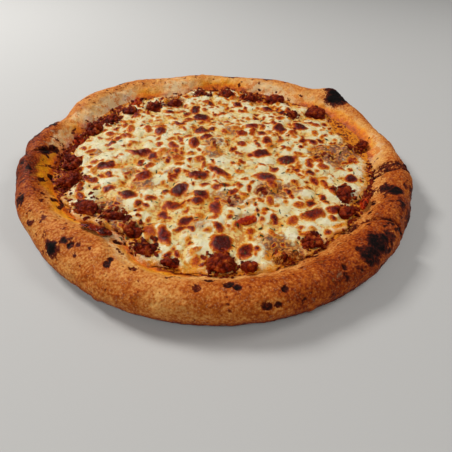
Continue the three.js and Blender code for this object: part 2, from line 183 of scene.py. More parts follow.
# Cheese
CHEESE_RADIUS = 118
CHEESE_STEPS = 280  # the grid's steps from one side to the other
CHEESE_THICKNESS = 3.8
CHEESE_EDGE_THICKNESS = 0.5
CHEESE_ROUNDING = 9  # the cheese is rounded off over this distance from its edge
CHEESE_GAP = 0.3  # between the sauce's solid and the cheese's underside
BARE_SAUCE_HEIGHT = 9  # the cheese's bed where no solid of sauce is under it
CHEESE_INSET = 1  # the cheese ends this far inside the sauce
EDGE_RADIUS = 120  # the waves of the cheese's edge are read along this circle
EDGE_WAVES = [Wave(3.5, 24, 60), Wave(4.0, 11, 61), Wave(1.6, 4.5, 62)]
HILL_SIZE = 13
HILL_HEIGHT = 3.8
HUMP_SIZE = 5.5
HUMP_HEIGHT = 1.4
COVER_OF_BARE_MEAT = 0.8  # the cheese's thickness at a bare clump
VEIL_THICKNESS = 0.35
CHEESE_SWELLS = [
    Swell(158, 22, -10),
    Swell(-163, 12, -12),
    Swell(16, 17, -15),
    Swell(-30, 10, -7),
    Swell(66, 18, -8),
]

# Browned blisters. The listed ones are the largest, and the rest are drawn.
Blister = namedtuple("Blister", "x y long wide turn depth")
LARGE_BLISTERS = [
    Blister(7, -104, 18, 15, 90, 1.0),
    Blister(22, -110, 13, 9, 80, 0.8),
    Blister(-31, -100, 16, 8, 110, 0.8),
    Blister(71, -74, 18, 10, 25, 0.75),
    Blister(-29, -69, 13, 10, 0, 0.7),
    Blister(1, -70, 14, 8, 110, 0.7),
    Blister(-10, -57, 10, 9, 0, 0.9),
    Blister(-28, -52, 14, 11, 40, 1.0),
    Blister(-64, -60, 14, 10, -30, 1.0),
    Blister(-57, -37, 15, 12, 80, 0.7),
    Blister(-15, -34, 16, 11, 0, 0.8),
    Blister(1, -26, 20, 8, -40, 0.9),
    Blister(40, -32, 16, 11, -10, 0.9),
    Blister(-90, -26, 13, 11, 20, 0.9),
    Blister(-67, -4, 20, 8, 0, 0.8),
    Blister(-22, 13, 16, 8, 90, 0.8),
    Blister(59, -7, 16, 11, 15, 1.0),
    Blister(38, 1, 16, 11, 20, 1.0),
    Blister(44, 22, 14, 9, 90, 0.9),
    Blister(-55, 30, 13, 8, 75, 0.9),
    Blister(-17, 35, 15, 11, -20, 0.9),
    Blister(57, 44, 17, 11, 90, 1.0),
    Blister(77, 49, 14, 9, -35, 1.0),
    Blister(30, 46, 12, 8, 10, 0.8),
    Blister(-20, 60, 16, 12, 0, 1.0),
    Blister(-27, 76, 14, 9, 90, 1.0),
    Blister(17, 89, 13, 8, 90, 0.9),
    Blister(48, 82, 15, 7, 0, 0.9),
]
BLISTER_COUNT = 620
BLISTER_RISE = 1.7
BLISTER_FIELD = 124  # the drawn blisters lie within this radius

# Where the meat shows through the cheese
MEATY_SPOTS = [
    Mark(-51, 91, 13, 0.9),
    Mark(-110, 48, 10, 0.8),
    Mark(-52, -14, 7, 0.7),
    Mark(-56, -44, 9, 0.8),
    Mark(-38, -4, 9, 0.7),
    Mark(-3, 0, 10, 0.7),
    Mark(6, -59, 9, 0.6),
    Mark(-76, -75, 11, 0.8),
    Mark(110, 8, 13, 1.0),
    Mark(92, 5, 13, 1.0),
    Mark(100, -8, 10, 0.9),
    Mark(45, -48, 12, 0.9),
    Mark(58, -46, 8, 0.7),
    Mark(11, 38, 9, 0.7),
    Mark(42, -103, 10, 0.8),
    Mark(52, -112, 11, 0.9),
    Mark(-9, -87, 9, 0.5),
    Mark(35, 106, 12, 0.8),
    Mark(-70, -30, 8, 0.6),
    Mark(-88, 62, 9, 0.6),
    Mark(-81, -80, 8, 1.0),
    Mark(-69, -88, 8, 1.0),
    Mark(-59, -94, 8, 1.0),
    Mark(-53, -102, 8, 1.0),
    Mark(-45, -112, 7, 0.9),
]

# Meat and herbs
MINCE_NODES = sorted(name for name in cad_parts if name.startswith("mince"))
TOMATO_NODES = sorted(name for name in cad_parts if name.startswith("tomato"))
VEILED_NODES = ["mince_10", "mince_14", "mince_15", "mince_27", "mince_28", "mince_29"]
CRUMB_COUNT = 1000
CRUMB_SIZE = (1.6, 4.2)
CRUMB_BEND = 0.75
# Where crumbs lie at the rim: an angle, their spread along the rim, and how much the strip of
# crumbs is wider than the bare sauce.
CRUMBLY_SIDES = [
    Swell(150, 14, 3),
    Swell(176, 8, 2),
    Swell(-164, 7, 2),
    Swell(95, 22, 1),
    Swell(-25, 12, 1),
    Swell(-134, 12, 22),
]
FLAKE_COUNT = 420
FLAKE_SIZE = (0.7, 3.3)
FLAKE_FIELD = 124  # the herbs lie within this radius
FLAKE_LEAN = 0.35

# Camera, in millimetres and degrees
CAMERA_PLACE = (9.4, -245.4, 173.3)
CAMERA_TILT = 46.0  # down from level
CAMERA_ROLL = 2.36
CAMERA_LENS = 26.3
SENSOR_WIDTH = 36

# Studio, in metres and watts
FLOOR_REACH = 3
FLOOR_COLOUR = (206, 204, 200)
ROOM_LIGHT = 0.12
Softbox = namedtuple("Softbox", "name place size power")
SOFTBOXES = [
    Softbox("left", (-0.75, 0.45, 0.8), 0.3, 9.5),
    Softbox("right", (0.8, 0.25, 0.9), 0.4, 3),
    Softbox("front", (-0.2, -0.7, 1.0), 0.5, 3.4),
]


# ---- numbers ----

def ease(low, high, x):
    """0 below low, 1 above high, and a smooth step between."""
    t = np.clip((x - low) / (high - low), 0, 1)
    return t * t * (3 - 2 * t)


def ripple(points, size, seed=0, octaves=2):
    """Smooth noise, about -1 to 1, whose waves are about as long as size."""
    shift = Vector((seed * 31.7, seed * 17.1, seed * 5.3))
    return np.array([noise.fractal(Vector(p) + shift, 1.0, 2.0, octaves) for p in points / size])


def ripples(points, waves):
    """The sum of some waves at each point."""
    return sum(wave.by * ripple(points, wave.size, wave.seed) for wave in waves)


def lumps(points, size, seed=0):
    """The roundness of cells about as large as size: 1 at their middles, 0 where they meet."""
    shift = Vector((seed * 31.7, seed * 17.1, seed * 5.3))
    near = np.array([noise.voronoi(Vector(p) + shift)[0][0] for p in points / size])
    return 1 - np.clip(near, 0, 1)


def bell(x, middle, half):
    """1 at the middle, and less the farther x is from it."""
    return np.exp(-(((x - middle) / half) ** 2))


def swell(swells, angle):
    """What a list of swells adds at each angle."""
    turn = [(angle - s.at + 180) % 360 - 180 for s in swells]
    return sum(s.by * bell(t, 0, s.half) for s, t in zip(swells, turn))


def polar(points):
    """The angle and the radius of each point."""
    return np.degrees(np.arctan2(points[:, 1], points[:, 0])), np.hypot(points[:, 0], points[:, 1])


def distance_to_path(points, path):
    """How far each point is from a path, seen from above: more than 0 on the path's left."""
    nearest = np.full(len(points), np.inf)
    side = np.ones(len(points))
    for start, end in zip(path, path[1:]):
        start, along = np.array(start), np.subtract(end, start)
        share = np.clip((points[:, :2] - start) @ along / (along @ along), 0, 1)
        gap = points[:, :2] - start - share[:, None] * along
        away = np.hypot(gap[:, 0], gap[:, 1])
        left = np.sign(along[0] * gap[:, 1] - along[1] * gap[:, 0])
        side = np.where(away < nearest, left, side)
        nearest = np.minimum(nearest, away)
    return nearest * side


# ---- meshes ----

def add_piece(name, bm, material):
    """Makes an object of a bmesh in millimetres. It rides on the pizza."""
    bmesh.ops.scale(bm, vec=(MM, MM, MM), verts=bm.verts)
    mesh = bpy.data.meshes.new(name)
    bm.to_mesh(mesh)
    bm.free()
    mesh.materials.append(material)
    mesh.shade_smooth()
    piece = bpy.data.objects.new(name, mesh)
    bpy.context.collection.objects.link(piece)
    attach(piece, "root")
    return piece


def welded_copy(*nodes):
    """A bmesh in millimetres of the welded solids of some nodes, in quads where it can be."""
    bm = bmesh.new()
    for node in nodes:
        bm.from_mesh(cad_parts[node].data)
    bmesh.ops.scale(bm, vec=(1 / MM, 1 / MM, 1 / MM), verts=bm.verts)
    bmesh.ops.remove_doubles(bm, verts=bm.verts, dist=WELD)
    bmesh.ops.join_triangles(
        bm, faces=bm.faces, angle_face_threshold=math.pi, angle_shape_threshold=math.pi
    )
    return bm


def refine(piece, levels):
    """Rounds and subdivides a piece's mesh."""
    smoother = piece.modifiers.new("smoother", "SUBSURF")
    smoother.levels = levels
    smoother.render_levels = levels
    evaluated = piece.evaluated_get(bpy.context.evaluated_depsgraph_get())
    fine = bpy.data.meshes.new_from_object(evaluated)
    piece.modifiers.clear()
    piece.data = fine
    fine.shade_smooth()


def get_points(piece):
    flat = np.empty(len(piece.data.vertices) * 3)
    piece.data.vertices.foreach_get("co", flat)
    return flat.reshape(-1, 3) / MM


def get_normals(piece):
    flat = np.empty(len(piece.data.vertices) * 3)
    piece.data.vertices.foreach_get("normal", flat)
    return flat.reshape(-1, 3)


def set_points(piece, points):
    piece.data.vertices.foreach_set("co", (points * MM).ravel())
    piece.data.update()


def paint(piece, name, values):
    """Keeps a value for each point of a piece, which its material reads."""
    layer = piece.data.attributes.new(name, "FLOAT", "POINT")
    layer.data.foreach_set("value", np.clip(values, 0, 1).astype(np.float32))


def tree_of(*pieces):
    """A search tree, in millimetres, of the surfaces of some objects."""
    bm = bmesh.new()
    for piece in pieces:
        bm.from_mesh(piece.data)
    bmesh.ops.scale(bm, vec=(1 / MM, 1 / MM, 1 / MM), verts=bm.verts)
    tree = BVHTree.FromBMesh(bm)
    bm.free()
    return tree


def drop(tree, x, y):
    """Where a plumb line at x, y first meets a surface, and that surface's normal."""
    spot, normal, _, _ = tree.ray_cast(Vector((x, y, SKY)), Vector((0, 0, -1)))
    return spot, normal


def heights(tree, points, missing=0):
    """The height of the surface under each point, or else the missing one."""
    found = [drop(tree, x, y)[0] for x, y in points[:, :2]]
    return np.array([missing if spot is None else spot.z for spot in found])


def footprint(node):
    """A node's middle and half sizes, seen from above."""
    low, high = (np.array(corner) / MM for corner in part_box(node))
    return (low + high)[:2] / 2, (high - low)[:2] / 2


# ---- materials ----

class Value:
    """A socket of a material, which takes part in sums like a number."""

    def __init__(self, look, socket):
        self.look = look
        self.socket = socket

    def combine(self, operation, first, second):
        return self.look.add("ShaderNodeMath", {"operation": operation}, {0: first, 1: second})

    def __add__(self, other):
        return self.combine("ADD", self, other)

    def __radd__(self, other):
        return self.combine("ADD", other, self)

    def __sub__(self, other):
        return self.combine("SUBTRACT", self, other)

    def __rsub__(self, other):
        return self.combine("SUBTRACT", other, self)

    def __mul__(self, other):
        return self.combine("MULTIPLY", self, other)

    def __rmul__(self, other):
        return self.combine("MULTIPLY", other, self)

    def clipped(self):
        """This value held between 0 and 1."""
        return self.look.add("ShaderNodeClamp", {}, {"Value": self})

    def step(self, low, high):
        """0 below low, 1 above high, and a smooth step between."""
        settings = {"interpolation_type": "SMOOTHSTEP"}
        return self.look.add(
            "ShaderNodeMapRange", settings, {"Value": self, "From Min": low, "From Max": high}
        )


class Look:
    """A material that is being put together."""

    def __init__(self, name, **fixed):
        self.material = bpy.data.materials.new(name)
        self.material.use_nodes = True
        self.tree = self.material.node_tree
        self.shader = self.tree.nodes["Principled BSDF"]
        for key, number in fixed.items():
            self.plug(self.input(key), number)
        self.place = self.add("ShaderNodeTexCoord", {}, {}, "Object")

    def input(self, key):
        """The shader's socket for a name such as base_color or ior."""
        return self.shader.inputs[key.replace("_", " ").title().replace("Ior", "IOR")]

    def add(self, kind, settings, inputs, output=0):
        """Adds a node: its settings first, then its sockets' values or links."""
        node = self.tree.nodes.new(kind)
        for key, setting in settings.items():
            if key == "stops":
                self.set_stops(node.color_ramp, setting)
            else:
                setattr(node, key, setting)
        for key, given in inputs.items():
            self.plug(node.inputs[key], given)
        return Value(self, node.outputs[output])

    def set_stops(self, ramp, stops):
        while len(ramp.elements) < len(stops):
            ramp.elements.new(1)
        for element, (position, colour) in zip(ramp.elements, stops):
            element.position = position
            element.color = colour

    def plug(self, socket, given):
        if isinstance(given, Value):
            self.tree.links.new(given.socket, socket)
        else:
            socket.default_value = given

    def mark(self, name):
        """What is painted on the piece under a name."""
        return self.add("ShaderNodeAttribute", {"attribute_name": name}, {}, "Fac")

    def grain(self, size, detail=2.0, stretch=(1, 1, 1)):
        """Noise from 0 to 1 whose spots are about as large as size."""
        place = self.add(
            "ShaderNodeMapping", {"vector_type": "POINT"}, {"Vector": self.place, "Scale": stretch}
        )
        inputs = {"Vector": place, "Scale": 1 / (size * MM), "Detail": detail}
        return self.add("ShaderNodeTexNoise", {}, inputs, "Fac")

    def cells(self, size):
        """How far each place is from the middle of its cell; cells are about as large as size."""
        inputs = {"Vector": self.place, "Scale": 1 / (size * MM)}
        return self.add("ShaderNodeTexVoronoi", {"feature": "F1"}, inputs, "Distance")

    def mix(self, share, first, second):
        settings = {"data_type": "RGBA"}
        inputs = {"Factor": share, 6: first, 7: second}
        return self.add("ShaderNodeMix", settings, inputs, 2)

    def ramp(self, value, stops):
        return self.add("ShaderNodeValToRGB", {"stops": stops}, {"Fac": value}, "Color")

    def bump(self, *layers):
        """Bumps, each a height from 0 to 1 and its depth in millimetres, one upon the other."""
        normal = None
        for height, depth in layers:
            inputs = {"Height": height, "Distance": depth * MM, "Strength": 1.0}
            if normal:
                inputs["Normal"] = normal
            normal = self.add("ShaderNodeBump", {}, inputs, "Normal")
        return normal

    def finish(self, **links):
        """Links what varies to the shader, and returns the material."""
        for key, given in links.items():
            self.plug(self.input(key), given)
        return self.material


def rgb(red, green, blue):
    """A colour as seen on a screen, 0 to 255, in the linear numbers that a shader takes."""
    channels = [c / 255 for c in (red, green, blue)]
    linear = [c / 12.92 if c <= 0.04045 else ((c + 0.055) / 1.055) ** 2.4 for c in channels]
    return (*linear, 1.0)


def baked_crust():
    look = Look("baked_crust", ior=1.45, specular_ior_level=0.12)
    char = look.mark("char")
    pale = look.mark("pale")
    oil = look.mark("oil")
    wet = look.mark("wet")
    toast = look.mark("toast")
    patches = look.grain(15, 3)
    blotches = look.grain(4.5, 3)
    specks = look.grain(1.5, 2)
    dust = look.grain(0.7, 1)
    pores = look.cells(1.5)

    # The toast mark also holds painted shade: the rim is darker towards its foot.
    browning = toast + (patches - 0.5) * 0.45 + (blotches - 0.5) * 0.5 + (specks - 0.5) * 0.8
    colour = look.ramp(browning.clipped(), [
        (0.05, rgb(244, 184, 104)),
        (0.30, rgb(222, 142, 66)),
        (0.50, rgb(189, 93, 22)),
        (0.72, rgb(142, 49, 4)),
        (0.95, rgb(76, 16, 1)),
    ])
    flour = (pores + (dust - 0.5) * 0.5).step(0.42, 0.2) * blotches.step(0.3, 0.6)
    colour = look.mix((flour * (0.5 - toast * 0.5)).clipped(), colour, rgb(240, 184, 124))
    pale_share = (pale * 1.1 + (blotches - 0.5) * 1.3 + (specks - 0.5) * 0.4).step(0.2, 0.75)
    colour = look.mix(pale_share * 0.9, colour, rgb(242, 206, 152))
    floury = (pale + (look.grain(9, 2) - 0.5) * 2.2).step(0.9, 1.3)
    colour = look.mix(floury * 0.8, colour, rgb(244, 228, 196))
    oil_share = oil * 1.2 + pale * 0.35 + (patches - 0.5) * 1.0 + (blotches - 0.5) * 0.8
    oil_share = oil_share.step(0.2, 0.8)
    oiled = look.ramp(wet * 0.8 + (blotches - 0.5) * 1.0 + (specks - 0.5) * 0.6, [
        (0.10, rgb(255, 166, 20)),
        (0.42, rgb(248, 132, 10)),
        (0.66, rgb(208, 84, 6)),
        (0.90, rgb(142, 38, 3)),
    ])
    colour = look.mix(oil_share * 0.9, colour, oiled)
    smears = (look.grain(6, 4) + (specks - 0.5) * 0.3).step(0.51, 0.62)
    smeared = (pale + oil).step(0.2, 0.6) * smears
    colour = look.mix(smeared * 0.75, colour, rgb(222, 118, 24))
    # The char mark holds real burns and also painted shade: the creases of the folds are painted
    # dark.
    scorch_and_crease_shade = char * 0.95 + (blotches - 0.5) * 1.3 * char.step(0.02, 0.4)
    scorch_and_crease_shade += (specks - 0.5) * 1.0 * char.step(0, 0.3)
    scorch_and_crease_shade_colour = look.ramp(scorch_and_crease_shade, [
        (0.10, rgb(146, 58, 14)),
        (0.34, rgb(96, 28, 6)),
        (0.60, rgb(44, 12, 5)),
        (0.88, rgb(13, 7, 6)),
    ])
    colour = look.mix(scorch_and_crease_shade.step(0.04, 0.26), colour, scorch_and_crease_shade_colour)

    rough = 0.58 - oil_share * 0.25 + pores * 0.1 + scorch_and_crease_shade.step(0.5, 0.9) * 0.15
    normal = look.bump((specks, 0.4), (pores, 0.2), (blotches, 0.6))
    return look.finish(base_color=colour, roughness=rough, normal=normal)


def tomato_sauce():
    look = Look("tomato_sauce", ior=1.4, specular_ior_level=0.3)
    pulp = look.grain(2.2, 3)
    pools = look.grain(7, 3)
    colour = look.ramp(pulp, [
        (0.30, rgb(84, 14, 2)),
        (0.50, rgb(140, 36, 4)),
        (0.70, rgb(190, 84, 14)),
    ])
    oily = (pools + look.mark("oil") * 0.16 + (pulp - 0.5) * 1.4).step(0.42, 0.70)
    colour = look.mix(oily * 0.8, colour, rgb(236, 144, 26))
    rough = 0.35 + pulp * 0.3
    return look.finish(
        base_color=colour, roughness=rough, normal=look.bump((pulp, 1.2), (look.grain(0.7), 0.3))
    )


def melted_cheese():
    look = Look("melted_cheese", ior=1.42, subsurface_weight=0.1, specular_ior_level=0.3)
    look.shader.inputs["Subsurface Radius"].default_value = (1.0, 0.55, 0.25)
    look.shader.inputs["Subsurface Scale"].default_value = 2 * MM
    brown = look.mark("brown")
    oil = look.mark("oil")
    low = look.mark("low")
    meat = look.mark("meat")
    fine = look.grain(0.9, 3)
    medium = look.grain(2.6, 3)
    wide = look.grain(9, 3)

    colour = look.mix(wide.step(0.35, 0.65), rgb(240, 222, 164), rgb(250, 240, 202))
    clear_share = (low * 1.5 + (medium - 0.5) * 0.9).step(0.35, 1.0)
    colour = look.mix(clear_share * 0.45, colour, rgb(214, 190, 140))
    butter = (low * 0.9 + wide * 0.8 + (medium - 0.5) * 0.6 + (fine - 0.5) * 0.3).step(0.66, 0.98)
    colour = look.mix(butter * 0.6, colour, rgb(246, 196, 62))
    freckles = (look.grain(2.4, 2) + low * 0.3).step(0.70, 0.80)
    colour = look.mix(freckles * 0.8, colour, rgb(210, 116, 22))
    oil_share = (oil + (medium - 0.5) * 1.0).step(0.1, 0.8)
    colour = look.mix(oil_share * 0.9, colour, rgb(228, 140, 20))
    meaty = (meat * 1.1 + (medium - 0.5) * 1.1 + (fine - 0.5) * 0.3).step(0.25, 0.75)
    through = look.ramp(medium * 0.85 + fine * 0.15, [
        (0.38, rgb(84, 20, 2)),
        (0.46, rgb(146, 56, 8)),
        (0.54, rgb(192, 102, 26)),
        (0.62, rgb(228, 172, 90)),
    ])
    colour = look.mix(meaty * 0.9, colour, through)

    toast = brown * 1.05 + (fine - 0.5) * 0.9 * brown.step(0.02, 0.25)
    toast += (medium - 0.5) * 1.0 * brown.step(0.05, 0.35)
    browned = look.ramp(toast, [
        (0.05, rgb(240, 184, 68)),
        (0.18, rgb(228, 132, 18)),
        (0.36, rgb(200, 84, 4)),
        (0.58, rgb(164, 44, 1)),
        (0.80, rgb(120, 19, 0)),
        (1.00, rgb(70, 7, 0)),
    ])
    colour = look.mix(toast.step(0.02, 0.14), colour, browned)

    rough = 0.16 + (fine - 0.5) * 0.3 + meaty * 0.06
    normal = look.bump((medium, 1.5), (fine, 0.5))
    return look.finish(base_color=colour, roughness=rough, normal=normal)


def browned_mince():
    look = Look("browned_mince", ior=1.4, specular_ior_level=0.14)
    crumb = look.cells(2.2)
    grain = look.grain(0.9, 3)
    patches = look.grain(5, 2)
    crags = look.mark("crags")
    # Painted highlight and shade: the tops of the crags and the middles of the crumb cells are
    # lighter, and the hollows between them are darker.
    shade = (patches * 0.7 + grain * 0.5 + crags * 0.9 - crumb * 0.2 - 0.5).clipped()
    colour = look.ramp(shade, [
        (0.12, rgb(36, 4, 0)),
        (0.36, rgb(98, 16, 1)),
        (0.60, rgb(148, 46, 6)),
        (0.86, rgb(206, 108, 36)),
    ])
    rough = 0.34 + grain * 0.3
    return look.finish(
        base_color=colour, roughness=rough, normal=look.bump((1 - crumb, 0.9), (grain, 0.6))
    )


def stewed_tomato():
    look = Look("stewed_tomato", ior=1.4, specular_ior_level=0.2)
    streaks = look.grain(1.6, 3, (1, 0.4, 1))
    colour = look.ramp(streaks, [
        (0.32, rgb(128, 16, 2)),
        (0.50, rgb(188, 42, 5)),
        (0.68, rgb(222, 108, 24)),
    ])
    rough = 0.3 + streaks * 0.2
    return look.finish(base_color=colour, roughness=rough, normal=look.bump((streaks, 0.5)))


def dried_herb():
    look = Look("dried_herb", roughness=0.75, specular_ior_level=0.15)
    tone = look.grain(1.5, 2)
    colour = look.ramp(tone, [
        (0.30, rgb(32, 24, 8)),
        (0.52, rgb(62, 56, 18)),
        (0.72, rgb(112, 98, 40)),
    ])
    return look.finish(base_color=colour, normal=look.bump((look.grain(0.5), 0.1)))


# ---- the crust ----

def wander(points, size, reach):
    """The points pushed about from side to side, so that what is drawn on them isn't round."""
    push = [reach * ripple(points, size, seed) for seed in (3, 4)]
    return points + np.column_stack([*push, np.zeros(len(points))])


def fold_marks(points, folds):
    """How far the dough stands out about its folds, and how near each point is to a crease."""
    relief = np.zeros(len(points))
    near = np.zeros(len(points))
    for fold in folds:
        off = distance_to_path(points, fold.path)
        in_reach = ease(2.2 * LIP_REACH, 0.6 * LIP_REACH, np.abs(off))
        lifted = ease(-0.8, 2.4, off) * np.exp(-np.clip(off, 0, None) / LIP_REACH)
        crease = bell(off, 0, fold.width)
        relief += fold.lift * lifted * in_reach - fold.depth * crease
        near = np.maximum(near, crease)
    return relief, near


def marks_at(points, marks, blur):
    """How strongly some marks show at each point. Each lies on the top of what is under it."""
    shown = np.zeros(len(points))
    for mark in marks:
        x, y, z = (points - (mark.x, mark.y, 0)).T
        aside = np.hypot(x, y)
        z = z - z[aside <= aside.min() + 2].max()
        away = np.hypot(aside, z) / mark.size
        shown = np.maximum(shown, mark.depth * ease(1 + blur, 1 - blur, away))
    return shown


def make_crust():
    bm = welded_copy("crust")
    crust = add_piece("baked_dough", bm, baked_crust())
    refine(crust, CRUST_LEVELS)
    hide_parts("crust")

    points = get_points(crust)
    normals = get_normals(crust)
    angle, radius = polar(points)
    height = points[:, 2]
    skin = ease(1, 6, height) * ease(RIM_FOOT, RIM_FOOT + 12, radius)

    relief = ripples(points, CRUST_WAVES)
    draw = np.random.default_rng(5)
    spots = points[draw.choice(np.flatnonzero(skin > 0.9), BUBBLE_COUNT)]
    sizes = draw.uniform(*BUBBLE_SIZE, BUBBLE_COUNT)
    for spot, size in zip(spots, sizes):
        away = np.linalg.norm(points - spot, axis=1) / size
        relief += BUBBLE_RISE * size * ease(1, 0.3, away)
    burst = marks_at(wander(points, 4, 0.5), BURST_BUBBLES, 0.25)
    relief -= BURST_DEPTH * burst
    slope = ease(150, 142, radius) * ease(RIM_FOOT + 12, RIM_FOOT + 20, radius)
    relief += slope * (1.4 * lumps(points, 8, 14) - 0.7)
    folded, creased = fold_marks(wander(points, 9, 0.8), FOLDS)
    relief += folded * ease(4, 10, height) * ease(161, 151, radius)
    burns_and_crease_shade = marks_at(wander(points, 8, 2.2), BURNS, 0.5)
    relief += burns_and_crease_shade * (0.9 * lumps(points, 3.4, 13) - 0.2)
    set_points(crust, points + normals * (relief * skin)[:, None])

    scorched_sides = np.max([s.by * bell(angle, s.at, s.half) for s in SCORCHED_SIDES], axis=0)
    mottle = ripple(points, 6, 8, 3)
    burns_and_crease_shade = np.maximum(burns_and_crease_shade, scorched_sides * ease(0.15, 0.6, mottle) * 0.65)
    burns_and_crease_shade = np.maximum(burns_and_crease_shade, 0.4 * ease(0.5, 0.8, mottle))
    # Painted shade: the creases of the folds are painted dark like char, where shade falls in
    # them.
    burns_and_crease_shade = np.maximum(burns_and_crease_shade, 0.8 * creased * ease(-0.9, 0.1, ripple(points, 6, 9)))
    burns_and_crease_shade = np.maximum(burns_and_crease_shade, 0.68 * burst)
    crest = bell(height, height.max() - CREST_DROP, 4) * ease(0.15, 0.6, ripple(points, 3.2, 15))
    burns_and_crease_shade = np.maximum(burns_and_crease_shade, 0.38 * crest * swell(FRECKLED_CRESTS, angle))
    paint(crust, "char", burns_and_crease_shade * skin)

    inner_slope = ease(23, 14, height) * ease(RIM_FOOT, RIM_FOOT + 8, radius)
    inner_slope *= ease(151, 140, radius)
    wet = ease(17, 9, height) * inner_slope
    pale = swell(PALE_SLOPES, angle) * inner_slope
    foot = ease(9, 4, height) * ease(140, 150, radius) * ease(-0.3, 0.4, ripple(points, 22, 12))
    paint(crust, "pale", np.maximum(pale, foot * swell(PALE_FEET, angle)))
    paint(crust, "oil", swell(OILY_SLOPES, angle) * inner_slope * (0.5 + 0.5 * wet))
    paint(crust, "wet", wet)

    toast = 0.4 + 0.12 * ripple(points, 30, 10) + swell(TOASTED_SIDES, angle)
    # Painted shade: the outer rim is painted darker towards its foot, where it lies in shade under
    # its bulge.
    toast += 0.7 * ease(13, 1, height) * ease(140, 150, radius) - 0.3 * inner_slope
    paint(crust, "toast", toast)
    return crust


# ---- sauce, meat and tomato ----

def make_sauce():
    sauce = add_piece("sauce_layer", welded_copy("sauce"), tomato_sauce())
    refine(sauce, SAUCE_LEVELS)
    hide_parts("sauce")
    points = get_points(sauce)
    up = ease(0.2, 0.8, get_normals(sauce)[:, 2])
    points[:, 2] += up * (0.6 * ripple(points, 7, 21) + 0.9 * lumps(points, 4, 22) - 0.3)
    set_points(sauce, points)
    paint(sauce, "oil", swell(OILY_SAUCE, polar(points)[0]))
    return sauce


def make_mince():
    mince = add_piece("mince_clumps", welded_copy(*MINCE_NODES), browned_mince())
    refine(mince, MINCE_LEVELS)
    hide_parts(*MINCE_NODES)
    points = get_points(mince)
    crags = 0.65 * lumps(points, 4.6, 31) + 0.35 * lumps(points, 2.0, 32)
    relief = CRAG_HEIGHT * crags + 1.0 * ripple(points, 7, 33) - 2.0
    set_points(mince, points + get_normals(mince) * relief[:, None])
    # Painted highlight and shade: the crags' height is painted on, so that their tops are lighter
    # and their hollows darker.
    paint(mince, "crags", crags)
    return mince


def make_tomato():
    tomato = add_piece("tomato_pieces", welded_copy(*TOMATO_NODES), stewed_tomato())
    refine(tomato, TOMATO_LEVELS)
    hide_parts(*TOMATO_NODES)
    points = get_points(tomato)
    relief = ripples(points, TOMATO_WAVES)
    set_points(tomato, points + get_normals(tomato) * relief[:, None])
    return tomato


def make_scrap(finish):
    scrap = add_piece("browned_scrap", welded_copy("cheese_scrap"), finish)
    refine(scrap, SCRAP_LEVELS)
    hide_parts("cheese_scrap")
    points = get_points(scrap)
    normals = get_normals(scrap)
    flat = np.abs(normals[:, 2])
    bumps = lumps(points, 4.6, 51)
    relief = SCRAP_BUMP_HEIGHT * bumps + 0.7 * ripple(points, 2.4, 52) - 1.2
    relief += (1 - flat) * 2.2 * ripple(points, 6, 54)
    set_points(scrap, points + normals * relief[:, None])
    paint(scrap, "brown", flat * (0.45 + 0.5 * bumps) + 0.3 * ripple(points, 5, 53) + 0.2)


# ---- the cheese ----

def outline_of(points):
    """The outline of a round layer, as a function from angle to radius."""
    angle, radius = polar(points)
    angles = np.arange(-180, 180, 3)
    radii = np.array([radius[np.abs(angle - a) < 2].max() for a in angles])
    return lambda at: np.interp(at, angles, radii, period=360)


def draw_blisters(draw):
    """The largest blisters, smaller ones where there is room, and lobes that run out of those."""
    blisters = list(LARGE_BLISTERS)
    while len(blisters) < BLISTER_COUNT + len(LARGE_BLISTERS):
        angle = draw.uniform(0, math.tau)
        radius = BLISTER_FIELD * math.sqrt(draw.uniform())
        long = 2.6 + 7.5 * draw.uniform() ** 1.8
        x, y = radius * math.cos(angle), radius * math.sin(angle)
        crowd = 0.34 if draw.uniform() < 0.4 else 0.48
        clear = all(math.hypot(b.x - x, b.y - y) > crowd * (b.long + long) for b in blisters)
        if clear:
            wide = long * draw.uniform(0.5, 0.9)
            blisters.append(Blister(x, y, long, wide, draw.uniform(0, 180), draw.uniform(0, 1)))
    lobes = []
    for b in blisters[len(LARGE_BLISTERS):]:
        if draw.uniform() < 0.5:
            turn = b.turn + draw.uniform(-40, 40) + 180 * draw.integers(2)
            x = b.x + 0.5 * b.long * math.cos(math.radians(turn))
            y = b.y + 0.5 * b.long * math.sin(math.radians(turn))
            long = b.long * draw.uniform(0.45, 0.8)
            bend = turn + draw.uniform(-60, 60)
            lobes.append(Blister(x, y, long, long * 0.6, bend, b.depth * draw.uniform(0.5, 1)))
    return blisters + lobes


def blister_marks(points, blisters):
    """How browned each point is, how near it is to a blister, and how far it stands out."""
    spots = wander(points, 8, 1.6)
    spots[:, 0] += 0.6 * ripple(points, 2.4, 71)
    spots[:, 1] += 0.6 * ripple(points, 2.4, 72)
    brown = np.zeros(len(points))
    halo = np.zeros(len(points))
    rise = np.zeros(len(points))
    for b in blisters:
        turn = math.radians(b.turn)
        dx, dy = spots[:, 0] - b.x, spots[:, 1] - b.y
        along = (dx * math.cos(turn) + dy * math.sin(turn)) / (b.long / 2)
        across = (dy * math.cos(turn) - dx * math.sin(turn)) / (b.wide / 2)
        away = np.hypot(along, across)
        soft = min(0.5, 2.4 / b.wide)
        brown = np.maximum(brown, (0.25 + 0.75 * b.depth) * ease(1.1 + soft, 0.75 - soft, away))
        halo = np.maximum(halo, ease(1.0 + 5.5 / b.long, 0.9, away))
        height = BLISTER_RISE * min(1.1, b.long / 12)
        rise = np.maximum(rise, height * (ease(1.25, 0.4, away) - 0.2 * ease(0.4, 0, away)))
    return brown * (1 + 0.25 * ripple(points, 4, 73)), halo, rise


